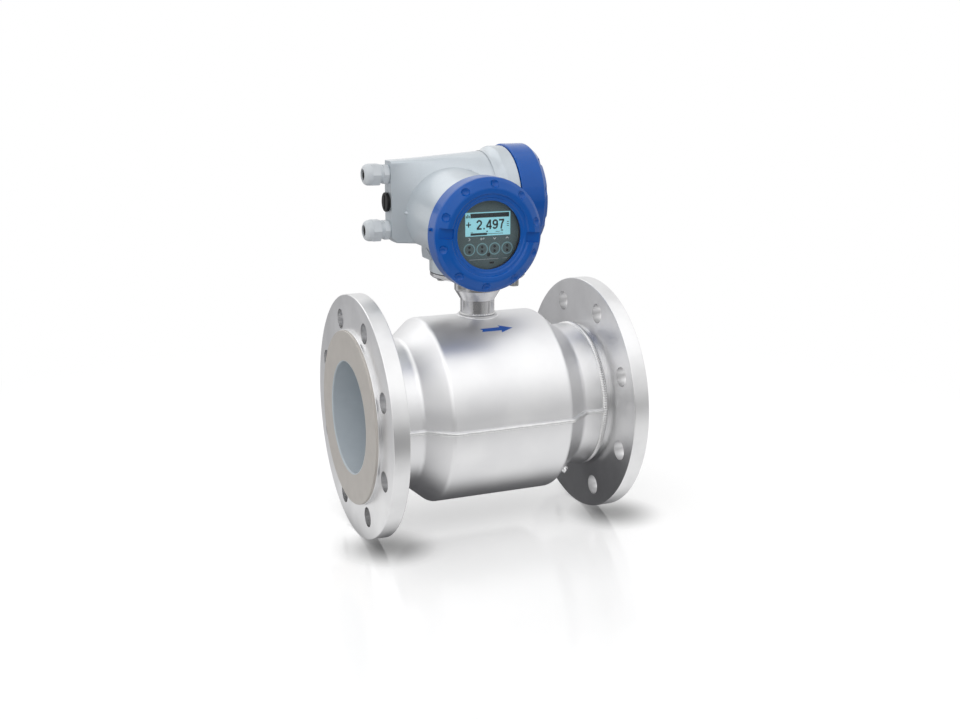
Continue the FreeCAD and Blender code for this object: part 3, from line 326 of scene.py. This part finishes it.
# Coil housing
# Two pressed shells of stainless sheet with flanged rims, welded along the seam and blasted to a satin
# finish. The drain plug low on the outlet cone has the same finish.
satin_steel = Finish("satin_steel", {"Metallic": 1.0})
cloud = satin_steel.noise(0.05, 3)
grit = satin_steel.noise(0.0006, 2)
satin_steel.vary("Base Color", satin_steel.blend(satin_steel.span(cloud, 0.3, 0.7), (0.76, 0.76, 0.77, 1),
                                                 (0.83, 0.83, 0.835, 1)))
satin_steel.vary("Roughness", 0.37 + cloud * 0.06 + grit * 0.04)
satin_steel.bump(grit, 0.00002)
dress(satin_steel, "upper_housing_shell", "lower_housing_shell", "drain_plug")


# Welds
# One rippled bead joins each shell collar to its flange hub, and a low bead closes the rims of the two
# shells along the seam, where a ray at each station finds the rim. All are left as welded and bright.
def new_piece(name, mesh, finish, body, smooth):
    """Turns a bmesh into a piece on a body. Smooth is the angle in degrees up to which edges look round."""
    data = bpy.data.meshes.new(name)
    mesh.to_mesh(data)
    mesh.free()
    data.materials.append(finish.material)
    piece = bpy.data.objects.new(name, data)
    bpy.context.scene.collection.objects.link(piece)
    if smooth:
        data.shade_smooth()
        data.set_sharp_from_angle(angle=math.radians(smooth))
    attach(piece, body)
    return piece


def ring_weld(node, ripples):
    """A bead round the pipe over a CAD bead, with overlapping ripples in its crown."""
    low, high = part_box(node)
    middle = (low.x + high.x) / 2
    half = (high.x - low.x) / 2 + 0.0003
    top, crown, root, ripple_height, ripple_bow = high.z, 0.0021, 0.006, 0.0011, 0.45
    arc = [math.pi * i / 10 for i in range(11)]
    line = [(middle - half, top - root)]
    line += [(middle - half * math.cos(turn), top - crown * (1 - math.sin(turn))) for turn in arc]
    line += [(middle + half, top - root)]
    bead = bmesh.new()
    points = [bead.verts.new((x, 0, r)) for x, r in line]
    edges = [bead.edges.new((points[i], points[(i + 1) % len(points)])) for i in range(len(points))]
    bmesh.ops.spin(bead, geom=points + edges, axis=(1, 0, 0), cent=(0, 0, 0), steps=ripples * 5,
                   angle=math.tau, use_merge=True)
    bmesh.ops.recalc_face_normals(bead, faces=bead.faces)
    for point in bead.verts:
        radius = math.hypot(point.co.y, point.co.z)
        side = (point.co.x - middle) / half
        if radius > top - crown * 1.01 and abs(side) < 0.99:
            turn = math.atan2(point.co.z, point.co.y) / math.tau * ripples
            phase = (turn + ripple_bow * side * side) % 1.0
            lift = ripple_height * (1 - side * side) * (abs(phase * 2 - 1) - 0.75)
            point.co.y *= 1 + lift / radius
            point.co.z *= 1 + lift / radius
    return bead


weld_steel = Finish("weld_steel", {"Metallic": 1.0})
cloud = weld_steel.mottle(0.004, 3, (0.62, 0.62, 0.62, 1), (0.82, 0.82, 0.82, 1))
weld_steel.vary("Roughness", 0.24 + cloud * 0.16)
for side in ("inlet", "outlet"):
    bead = new_piece(side + "_rippled_weld", ring_weld(side + "_weld_bead", 190), weld_steel, "meter",
                     60)
    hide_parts(side + "_weld_bead")
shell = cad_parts["upper_housing_shell"]
inwards = shell.matrix_world.inverted()
seam_end, seam_half_height, seam_crown = 0.0935, 0.0015, 0.0007
stations, section = 374, 10
ray_start, ray_height = 0.12, 0.0006
seam = bmesh.new()
for side in (-1, 1):
    rope = bmesh.ops.create_grid(seam, x_segments=stations, y_segments=section, size=1)["verts"]
    aim = inwards.to_3x3() @ Vector((0, -side, 0))
    places = []
    for i in range(stations + 1):
        x = seam_end * (2 * i / stations - 1)
        start = inwards @ Vector((x, side * ray_start, ray_height))
        rim = shell.matrix_world @ shell.ray_cast(start, aim)[1]
        drift = 0.00012 * math.sin(x * 410) + 0.00009 * math.sin(x * 930 + side)
        places.append((x, rim.y, drift, seam_crown * (1 + 0.16 * math.sin(x * 2400))))
    for point in rope:
        x, edge, drift, crown = places[round((point.co.x + 1) / 2 * stations)]
        turn = math.pi * (point.co.y + 1.5)
        point.co = (x, edge + side * crown * math.sin(turn), drift + seam_half_height * math.cos(turn))
bmesh.ops.remove_doubles(seam, verts=seam.verts, dist=0.00001)
bmesh.ops.holes_fill(seam, edges=[edge for edge in seam.edges if edge.is_boundary], sides=section)
bmesh.ops.recalc_face_normals(seam, faces=seam.faces)
new_piece("seam_weld", seam, weld_steel, "meter", 60)
neck_weld = Finish("neck_weld_steel", {"Metallic": 1.0, "Base Color": (0.66, 0.66, 0.66, 1)})
across, along, height = neck_weld.axes()
ripples = along.maths("ARCTAN2", along, across) * 46
neck_weld.vary("Roughness", 0.24 + neck_weld.noise(0.003, 2) * 0.12)
neck_weld.bump(ripples.maths("SINE", ripples), 0.00012)
dress(neck_weld, "neck_weld_bead")

# Flow arrow
# A blue arrow printed on the upper shell, just under the neck, that points to the outlet. It is drawn flat,
# cut into strips and bent round the shell.
arrow_start = -0.0115
arrow_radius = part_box("lower_housing_shell")[0].z * -1
arrow_angle = math.radians(65.9)
ink_thickness, ink_sunk = 0.00016, 0.00008
arrow = bmesh.new()
outline = [(0, 0.0021), (0.0022, 0.0), (0.0008, -0.0024), (0.0196, -0.0024), (0.0188, -0.0054), (0.0312, 0.0),
           (0.0188, 0.0054), (0.0196, 0.0024)]
arrow.faces.new([arrow.verts.new((arrow_start + s, t, 0)) for s, t in outline])
for step in range(-5, 6):
    bmesh.ops.bisect_plane(arrow, geom=arrow.verts[:] + arrow.edges[:] + arrow.faces[:],
                           plane_co=(0, step * 0.001, 0), plane_no=(0, 1, 0))
lifted = bmesh.ops.extrude_face_region(arrow, geom=arrow.faces[:])
for point in [item for item in lifted["geom"] if isinstance(item, bmesh.types.BMVert)]:
    point.co.z = ink_thickness
for point in arrow.verts:
    radius = arrow_radius - ink_sunk + point.co.z
    turn = arrow_angle + point.co.y / arrow_radius
    point.co.y, point.co.z = -radius * math.cos(turn), radius * math.sin(turn)
bmesh.ops.recalc_face_normals(arrow, faces=arrow.faces)
blue_ink = Finish("blue_ink", {"Roughness": 0.4})
blue_ink.mottle(0.002, 2, colour(0, 84, 180), colour(0, 92, 190))
new_piece("flow_arrow", arrow, blue_ink, "meter", 60)

# Neck
# Drawn stainless tube with a flared top and a round plate, polished along its length, and the passage of
# the wires in its mouth.
neck_steel = Finish("neck_steel", {"Metallic": 1.0})
lines = neck_steel.noise(0.0005, 2, (1, 1, 0.03))
neck_steel.mottle(0.02, 2, (0.6, 0.6, 0.61, 1), (0.7, 0.7, 0.71, 1))
neck_steel.vary("Roughness", 0.16 + lines * 0.08)
neck_steel.bump(lines, 0.00001)
dress(neck_steel, "sensor_neck", "neck_feedthrough")

# Base joint
# A dark rubber ring between plate and housing, four cap screws with knurled heads, and an earthing screw.
# The seals of the covers, the plug and the glands are of the same rubber.
rubber = Finish("dark_rubber", {"Roughness": 0.7})
rubber.mottle(0.003, 3, (0.02, 0.02, 0.02, 1), (0.035, 0.035, 0.035, 1))
dress(rubber, "base_gasket", "display_cover_oring", "terminal_cover_oring", "blind_plug_seal",
      "upper_gland_seal", "lower_gland_seal")
screw_steel = Finish("screw_steel", {"Metallic": 1.0})
cloud = screw_steel.mottle(0.002, 2, (0.5, 0.5, 0.5, 1), (0.64, 0.64, 0.64, 1))
screw_steel.vary("Roughness", 0.26 + cloud * 0.12)
dress(screw_steel, "base_screws", "earth_screw", "terminal_screws")
low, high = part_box("base_screws")
head_radius, knurl_start, knurl_length, knurl_lip = 0.004, 0.0008, 0.0059, 0.0003
knurls = bmesh.new()
for x in (low.x + head_radius, high.x - head_radius):
    for y in (low.y + head_radius, high.y - head_radius):
        ring = bmesh.ops.create_circle(knurls, segments=72, radius=head_radius)["verts"]
        for i, point in enumerate(ring):
            point.co *= 1.07 if i % 2 else 1.0
        bmesh.ops.translate(knurls, verts=ring, vec=(x, y, low.z + knurl_start))
        rim = list({edge for point in ring for edge in point.link_edges})
        wall = bmesh.ops.extrude_edge_only(knurls, edges=rim)["geom"]
        upper = [item for item in wall if isinstance(item, bmesh.types.BMVert)]
        bmesh.ops.translate(knurls, verts=upper, vec=(0, 0, knurl_length))
        for loop, inside in ((ring, -1), (upper, 1)):
            edges = [edge for edge in {e for v in loop for e in v.link_edges} if len(edge.link_faces) == 1]
            lip = bmesh.ops.extrude_edge_only(knurls, edges=edges)["geom"]
            for point in [item for item in lip if isinstance(item, bmesh.types.BMVert)]:
                away = Vector((point.co.x - x, point.co.y - y, 0))
                point.co -= away.normalized() * (away.length - head_radius + knurl_lip)
                point.co.z += inside * knurl_lip
bmesh.ops.recalc_face_normals(knurls, faces=knurls.faces)
new_piece("base_screw_knurls", knurls, screw_steel, "meter", 25)

# Converter housing
# Die-cast aluminium with a silver powder coat that follows the cast skin in a faint orange peel. Two drops
# of metal stand in its corners: the gate mark left of the boss, and one on top, where boss and barrel meet,
# over a pinhole in the wall.
silver_coat = Finish("silver_coat", {"Metallic": 0.35, "Coat Roughness": 0.14})
cloud = silver_coat.noise(0.04, 3)
peel = silver_coat.noise(0.0016, 2)
flake = silver_coat.noise(0.0004, 1)
silver_coat.vary("Base Color", silver_coat.blend(silver_coat.span(cloud * 0.6 + flake * 0.4, 0.35, 0.65),
                                                 colour(194, 202, 208), colour(206, 214, 220)))
silver_coat.vary("Roughness", 0.36 + peel * 0.08)
silver_coat.vary("Coat Weight", 0.5 + cloud * 0.1)
silver_coat.bump(peel * 0.7 + flake * 0.3, 0.00006)
dress(silver_coat, "converter_housing")
drops = bmesh.new()
for place, run, reach, width in [((-0.0605, 0.0203, 0.1776), (1.9, -5.8, -0.5), 0.0032, 0.0016),
                                 ((-0.0072, 0.0020, 0.2156), (3.1, -1.7, -0.8), 0.0026, 0.0011)]:
    drop = bmesh.ops.create_uvsphere(drops, u_segments=20, v_segments=12, radius=1)["verts"]
    for point in drop:
        point.co = Vector((point.co.x * reach, point.co.y * width, point.co.z * width))
    bmesh.ops.rotate(drops, verts=drop, matrix=Vector(run).to_track_quat("X", "Z").to_matrix())
    bmesh.ops.translate(drops, verts=drop, vec=place)
new_piece("cast_drops", drops, silver_coat, "meter", 60)

# Cable entries
# Light grey nylon glands with domed nuts, moulded and screwed into the wall, and a black blind plug in the
# middle entry. The board of the terminals is of the same black nylon.
nylon = Finish("grey_nylon", {"Roughness": 0.42, "Specular IOR Level": 0.45})
nylon.mottle(0.006, 3, colour(212, 217, 221), colour(224, 229, 233))
nylon.bump(nylon.noise(0.0009, 2), 0.00003)
dress(nylon, "upper_gland_body", "lower_gland_body", "upper_gland_nut", "lower_gland_nut")
black_nylon = Finish("black_nylon", {"Roughness": 0.45, "Specular IOR Level": 0.25})
black_nylon.mottle(0.004, 3, (0.003, 0.003, 0.003, 1), (0.008, 0.008, 0.008, 1))
dress(black_nylon, "blind_plug", "terminal_board")

# Terminals
# Green moulded rows behind the right-hand cover, clipped to the board, each way with a wire mouth and a
# clamp screw.
green_nylon = Finish("green_nylon", {"Roughness": 0.4})
green_nylon.mottle(0.005, 3, colour(30, 108, 66), colour(38, 122, 76))
dress(green_nylon, "terminal_block")


# Blue covers
# Die-cast lids under blue enamel with bright machined threads, screwed on until they meet the housing. The
# thread shows only where a lid stands off.
thread_pitch = 0.002


def blue_lid(name, axis, centre, thread_end, thread_radius):
    """Blue enamel outside, and bare aluminium with a thread on the spigot."""
    finish = Finish(name, {"Specular IOR Level": 0.16, "Coat Roughness": 0.05})
    across, along, height = finish.axes()
    if axis == "X":
        depth = across * -1
        turn_a, turn_b = along - centre[0], height - centre[1]
    else:
        depth = along
        turn_a, turn_b = across - centre[0], height - centre[1]
    squares = turn_a * turn_a + turn_b * turn_b
    radius = squares.maths("SQRT", squares)
    bare = (depth > thread_end) * (radius < thread_radius + 0.0006)
    helix = depth / thread_pitch * math.tau + turn_a.maths("ARCTAN2", turn_a, turn_b)
    tooth = helix.maths("SINE", helix)
    cloud = finish.noise(0.02, 3)
    peel = finish.noise(0.0018, 2)
    paint = finish.blend(cloud, colour(0, 86, 176), colour(0, 95, 188))
    finish.vary("Base Color", finish.blend(bare, paint, (0.6, 0.6, 0.61, 1)))
    finish.vary("Metallic", bare * 0.95)
    finish.vary("Roughness", 0.26 + peel * 0.06 + bare * 0.05)
    finish.vary("Coat Weight", (1 - bare) * 0.4)
    finish.bump(peel * (1 - bare) * 0.12 + tooth * bare * (radius > thread_radius - 0.0006), 0.0004)
    return finish


spigot_length = 0.0097
low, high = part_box("terminal_cover")
barrel_axis = (low + high) / 2
terminal_blue = blue_lid("terminal_cover_blue", "X", (barrel_axis.y, barrel_axis.z),
                         -low.x - spigot_length, 0.0395)
dress(terminal_blue, "terminal_cover")
low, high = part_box("display_window")
display_axis = (low + high) / 2
display_blue = blue_lid("display_cover_blue", "Y", (display_axis.x, display_axis.z),
                        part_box("display_cover")[1].y - spigot_length, 0.0364)
dress(display_blue, "display_cover")

# Display insert
# A moulded round carrier with a printed dark fascia, screwed in behind the glass. The liquid crystal
# display, lit from behind, shows through the fascia's window.
carrier = Finish("carrier_plastic", {"Roughness": 0.5})
carrier.mottle(0.01, 3, (0.03, 0.032, 0.033, 1), (0.045, 0.047, 0.048, 1))
dress(carrier, "electronics_module", "window_retainer")
fascia_print = Finish("fascia_print", {"Roughness": 0.45, "Specular IOR Level": 0.3})
fascia_print.mottle(0.02, 2, colour(92, 110, 112), colour(102, 120, 122))
fascia_print.bump(fascia_print.noise(0.0007, 2), 0.00002)
dress(fascia_print, "display_fascia")
crystal = Finish("crystal_display", {"Roughness": 0.3, "Emission Strength": 0.46})
glow_shade = crystal.blend(crystal.noise(0.02, 1), colour(142, 204, 215), colour(150, 210, 220))
crystal.vary("Base Color", glow_shade)
crystal.vary("Emission Color", glow_shade)
dress(crystal, "lcd_panel")


# Printed marks of the display
# Ink and crystal marks a few hundredths of a millimetre thick, drawn flat and set upright on their faces.
def flat_shape(marks, points):
    marks.faces.new([marks.verts.new((x, y, 0)) for x, y in points])


def flat_bar(marks, left, bottom, right, top):
    flat_shape(marks, [(left, bottom), (right, bottom), (right, top), (left, top)])


def flat_ring(marks, x, y, outer, inner):
    rim = bmesh.ops.create_circle(marks, segments=40, radius=outer)["verts"]
    hole = bmesh.ops.create_circle(marks, segments=40, radius=inner)["verts"]
    bmesh.ops.translate(marks, verts=rim + hole, vec=(x, y, 0))
    edges = list({edge for point in rim + hole for edge in point.link_edges})
    bmesh.ops.bridge_loops(marks, edges=edges)


def flat_disc(marks, x, y, radius):
    rim = bmesh.ops.create_circle(marks, cap_ends=True, segments=24, radius=radius)["verts"]
    bmesh.ops.translate(marks, verts=rim, vec=(x, y, 0))


def flat_stroke(marks, points, width):
    """A line of even width through the points, mitred where it bends."""
    line = [Vector(point) for point in points]
    pairs = []
    for i, point in enumerate(line):
        before = (point - line[i - 1] if i else line[1] - point).normalized()
        after = (line[i + 1] - point).normalized() if i + 1 < len(line) else before
        square = Vector((-before.y - after.y, before.x + after.x)).normalized()
        reach = square * width / 2 / max(square.dot(Vector((-before.y, before.x))), 0.4)
        pairs.append([marks.verts.new((*(point + reach * way), 0)) for way in (-1, 1)])
    for (low, high), (low_after, high_after) in zip(pairs, pairs[1:]):
        marks.faces.new([low, low_after, high_after, high])


def bow(x, y, wide, tall, start, end):
    """Points along a part of an ellipse, from one angle in degrees to another."""
    turns = [math.radians(start + (end - start) * i / 12) for i in range(13)]
    return [(x + wide * math.cos(turn), y + tall * math.sin(turn)) for turn in turns]


def print_on(name, marks, front, finish, thickness=0.00006):
    """Gives the flat marks their thickness and stands them on a face that looks towards -Y."""
    bmesh.ops.recalc_face_normals(marks, faces=marks.faces)
    for face in marks.faces:
        if face.normal.z < 0:
            face.normal_flip()
    made = bmesh.ops.extrude_face_region(marks, geom=marks.faces[:])["geom"]
    bmesh.ops.translate(marks, verts=[item for item in made if isinstance(item, bmesh.types.BMVert)],
                        vec=(0, 0, thickness))
    bmesh.ops.recalc_face_normals(marks, faces=marks.faces)
    bmesh.ops.rotate(marks, verts=marks.verts, matrix=Matrix.Rotation(math.pi / 2, 3, "X"))
    bmesh.ops.translate(marks, verts=marks.verts, vec=(0, front + thickness * 0.1, 0))
    return new_piece(name, marks, finish, "meter", 0)


fascia_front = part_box("display_fascia")[0].y
key_height = 0.1535
key_places = [-0.0313, -0.0195, -0.0079, 0.0038]
ring_print = Finish("key_ring_print", {"Roughness": 0.45})
ring_print.mottle(0.003, 2, colour(130, 176, 184), colour(142, 186, 193))
rings = bmesh.new()
for x in key_places:
    flat_ring(rings, x, key_height, 0.0053, 0.0044)
print_on("key_rings", rings, fascia_front, ring_print)
dark_print = Finish("dark_print", {"Roughness": 0.35})
dark_print.mottle(0.002, 2, (0.006, 0.008, 0.009, 1), (0.014, 0.017, 0.018, 1))
dots = bmesh.new()
for x in key_places:
    flat_disc(dots, x, key_height + 0.0019, 0.0012)
    flat_disc(dots, x, key_height - 0.0019, 0.0012)
flat_disc(dots, -0.0135, 0.1485, 0.0016)
flat_bar(dots, -0.0127, 0.1406, -0.0085, 0.1422)
print_on("key_windows", dots, fascia_front, dark_print)
pale_print = Finish("pale_print", {"Roughness": 0.45})
pale_print.mottle(0.002, 2, colour(214, 222, 224), colour(226, 232, 234))
signs = bmesh.new()
sign_height, sign_width, rule_width = key_height + 0.0088, 0.0006, 0.00024
key_signs = [
    [[(-0.0006, 0.0012), (0.0006, 0), (-0.0006, -0.0012)]],
    [[(0.0016, 0.0011), (0.0016, 0), (-0.0015, 0)], [(-0.0006, 0.0009), (-0.0016, 0), (-0.0006, -0.0009)]],
    [[(-0.0012, 0.0006), (0, -0.0007), (0.0012, 0.0006)]],
    [[(-0.0012, -0.0006), (0, 0.0007), (0.0012, -0.0006)]],
]
for key_x, strokes in zip(key_places, key_signs):
    for stroke in strokes:
        flat_stroke(signs, [(key_x + x, sign_height + y) for x, y in stroke], sign_width)
for start, end in ((-0.0314, -0.0042), (-0.0002, 0.0040)):
    flat_stroke(signs, [(start, 0.1447), (end, 0.1447)], rule_width)
print_on("key_signs", signs, fascia_front, pale_print)

low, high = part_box("lcd_panel")
display_left, display_top, display_front = low.x, high.z, low.y
figures = bmesh.new()


def screen_bar(left, top, right, bottom):
    flat_bar(figures, display_left + left, display_top - bottom, display_left + right, display_top - top)


for bar in [(0.0049, 0.0010, 0.0408, 0.0048), (0.0008, 0.0030, 0.0016, 0.0046),
            (0.0021, 0.0018, 0.0029, 0.0046), (0.0034, 0.0026, 0.0042, 0.0046),
            (0.0010, 0.0099, 0.0054, 0.0109), (0.0027, 0.0082, 0.0037, 0.0099),
            (0.0027, 0.0109, 0.0037, 0.0126), (0.0050, 0.0178, 0.0203, 0.0197),
            (0.0203, 0.0186, 0.0352, 0.0190)]:
    screen_bar(*bar)
for place in (0.0052, 0.0283, 0.0300):
    screen_bar(place, 0.0170, place + 0.0022, 0.0174)
for place in (0.0088, 0.0105, 0.0122):
    screen_bar(0.0388, place, 0.0406, place + 0.0006)
for place in (0.0156, 0.0166):
    screen_bar(0.0330, place, 0.0352, place + 0.0005)
left, top = display_left + 0.0203, display_top - 0.0162
flat_shape(figures, [(left, top - 0.0014), (left + 0.0010, top), (left - 0.0010, top)])
crystal_mark = Finish("crystal_mark", {"Roughness": 0.35})
crystal_mark.mottle(0.003, 2, (0.008, 0.018, 0.022, 1), (0.014, 0.028, 0.033, 1))
print_on("display_marks", figures, display_front, crystal_mark)
number = bmesh.new()
figure_foot, figure_width = display_top - 0.0149, 0.00145
figure_strokes = {
    0.0104: [bow(0.0026, 0.0056, 0.0019, 0.0020, 175, -30) + [(0.0033, 0.0036), (0.0008, 0.0009)],
             [(0.0003, 0.00062), (0.0048, 0.00062)]],
    0.0194: [[(0.0038, 0), (0.0038, 0.0082)], [(0.0036, 0.0078), (0.0005, 0.0026)],
             [(0.0001, 0.0022), (0.0052, 0.0022)]],
    0.0253: [bow(0.0026, 0.0055, 0.0019, 0.0020, 0, 360),
             bow(0.0022, 0.0040, 0.0023, 0.0034, 25, -95) + bow(0.0022, 0.0021, 0.0014, 0.0015, 260, 195)],
    0.0311: [[(0.0003, 0.00755), (0.0051, 0.00755)], [(0.0045, 0.0073), (0.0031, 0.0044), (0.0022, 0)]],
}
for left, strokes in figure_strokes.items():
    for stroke in strokes:
        flat_stroke(number, [(display_left + left + x, figure_foot + y) for x, y in stroke], figure_width)
point_left, point_height, point_size = display_left + 0.0168, figure_foot + 0.0007, 0.0013
flat_stroke(number, [(point_left, point_height), (point_left + point_size, point_height)], point_size)
print_on("display_number", number, display_front, crystal_mark)

# Display glass
# A flat toughened pane, clear, held by the retainer, with a reflection that grows where it is seen aslant.
pane = Finish("clear_pane", {"Base Color": (0.9, 0.95, 0.95, 1), "Roughness": 0.03})
clear = pane.node("ShaderNodeBsdfTransparent")
gloss = pane.node("ShaderNodeFresnel", values={"IOR": 1.45}) * 0.4 + pane.noise(0.03, 2) * 0.01
glass = pane.node("ShaderNodeMixShader", values={0: gloss, 1: clear, 2: Value(pane, pane.shader.outputs[0])})
pane.tree.links.new(glass.socket, pane.tree.nodes["Material Output"].inputs["Surface"])
dress(pane, "display_window")

# Colour view
# The render uses the plain Standard view transform.
bpy.context.scene.view_settings.view_transform = "Standard"
